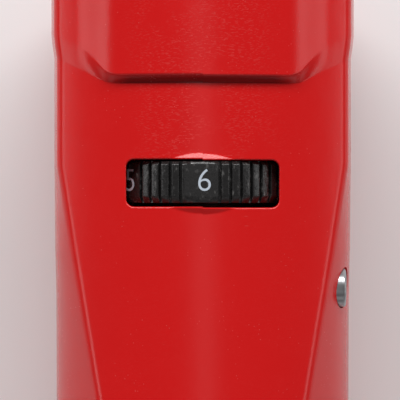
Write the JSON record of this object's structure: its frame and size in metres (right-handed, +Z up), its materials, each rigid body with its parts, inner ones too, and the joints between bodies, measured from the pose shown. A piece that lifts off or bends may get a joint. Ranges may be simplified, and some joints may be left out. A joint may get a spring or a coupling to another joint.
{
  "type": "rotary multi-tool",
  "caption": "Slim hand-held rotary grinder body with a red clamshell housing, ridged thumbwheel speed selector in a panel window, collet nose, lock button and rear rocker switch.",
  "frame": {"origin": "centre of the collet mouth, on the spindle axis", "axes": "+Y along the spindle from the collet to the rear end, +X to the tool's right, +Z up through the panel that holds the speed wheel"},
  "size_m": [0.0408, 0.1954, 0.0424],
  "materials": {
    "red_shell": "glossy moulded ABS, signal red",
    "soft_grip": "fine matt texture",
    "black_plastic": "satin moulded",
    "wheel_plastic": "satin, fine ridges",
    "polymer": "natural acetal",
    "machined_steel": "turned",
    "screw_steel": "zinc plated",
    "bearing_steel": "ground",
    "spring_steel": "drawn wire",
    "lamination": "stacked laminations, varnished",
    "enamelled_copper": "enamelled wire",
    "copper": "turned copper",
    "brass": "drawn",
    "carbon": "pressed graphite",
    "black_rubber": "moulded",
    "board": "glass epoxy with green mask",
    "sink_aluminium": "extruded",
    "device_epoxy": "moulded epoxy",
    "capacitor_case": "moulded box",
    "ferrite": "sintered",
    "resistor_body": "coated",
    "label_plate": "blank, satin"
  },
  "bodies": {
    "base": {"air_baffle": "black_plastic", "bearing_sleeve": "black_rubber", "brush_caps": "black_plastic", "brush_holders": "brass", "brush_springs": "spring_steel", "cable_gland": "black_rubber", "capacitor": "capacitor_case", "carbon_brushes": "carbon", "choke_coil": "enamelled_copper", "choke_core": "ferrite", "control_board": "board", "field_coils": "enamelled_copper", "front_motor_bearing_balls": "bearing_steel", "front_motor_bearing_outer": "bearing_steel", "front_spindle_bearing_balls": "bearing_steel", "front_spindle_bearing_outer": "bearing_steel", "grip_left": "soft_grip", "grip_right": "soft_grip", "heat_sink": "sink_aluminium", "housing_left": "red_shell", "housing_right": "red_shell", "housing_screws": "screw_steel", "lock_spring": "spring_steel", "potentiometer_body": "black_plastic", "rating_plate": "label_plate", "rear_motor_bearing_balls": "bearing_steel", "rear_motor_bearing_outer": "bearing_steel", "rear_spindle_bearing_balls": "bearing_steel", "rear_spindle_bearing_outer": "bearing_steel", "resistors": "resistor_body", "stator_core": "lamination", "switch_body": "black_plastic", "triac": "device_epoxy"},
    "rotor": {"spindle": "machined_steel", "lock_disc": "machined_steel", "coupling": "polymer", "motor_shaft": "machined_steel", "fan": "black_plastic", "armature_core": "lamination", "armature_windings": "enamelled_copper", "commutator": "copper", "front_spindle_bearing_inner": "bearing_steel", "rear_spindle_bearing_inner": "bearing_steel", "front_motor_bearing_inner": "bearing_steel", "rear_motor_bearing_inner": "bearing_steel"},
    "collet": {"collet": "machined_steel"},
    "nut": {"collet_nut": "machined_steel"},
    "collar": {"nose_collar": "black_plastic"},
    "lock": {"lock_button": "black_plastic", "lock_pin": "machined_steel"},
    "wheel": {"speed_wheel": "wheel_plastic", "potentiometer_shaft": "machined_steel"},
    "rocker": {"power_rocker": "black_plastic"}
  },
  "joints": [
    {"name": "rotor_spin", "type": "hinge", "parent": "base", "child": "rotor", "pos_m": [0, 0, 0], "axis": [0, 1, 0], "continuous": true},
    {"name": "collet_shift", "type": "slide", "parent": "rotor", "child": "collet", "axis": [0, -1, 0], "range_m": [0, 0.0016]},
    {"name": "nut_turn", "type": "hinge", "parent": "collet", "child": "nut", "pos_m": [0, 0, 0], "axis": [0, -1, 0], "range_deg": [0, 720]},
    {"name": "lock_press", "type": "slide", "parent": "base", "child": "lock", "axis": [0, 0, -1], "range_m": [0, 0.0026], "stiffness_N_per_m": 300, "springref_m": -0.004, "deforming": ["lock_spring"]},
    {"name": "wheel_turn", "type": "hinge", "parent": "base", "child": "wheel", "pos_m": [0, 0.1612, 0.00775], "axis": [0, 1, 0], "range_deg": [0, 225]},
    {"name": "rocker_tilt", "type": "hinge", "parent": "base", "child": "rocker", "pos_m": [0, 0.1917, 0.0093], "axis": [1, 0, 0], "range_deg": [0, 18]},
    {"name": "collar_off", "type": "slide", "parent": "base", "child": "collar", "axis": [0, -1, 0], "range_m": [0, 0.018]}
  ],
  "couplings": [
    {"joint": "collet_shift", "follows": "nut_turn", "m_per_rad": 0.00011937}
  ]
}
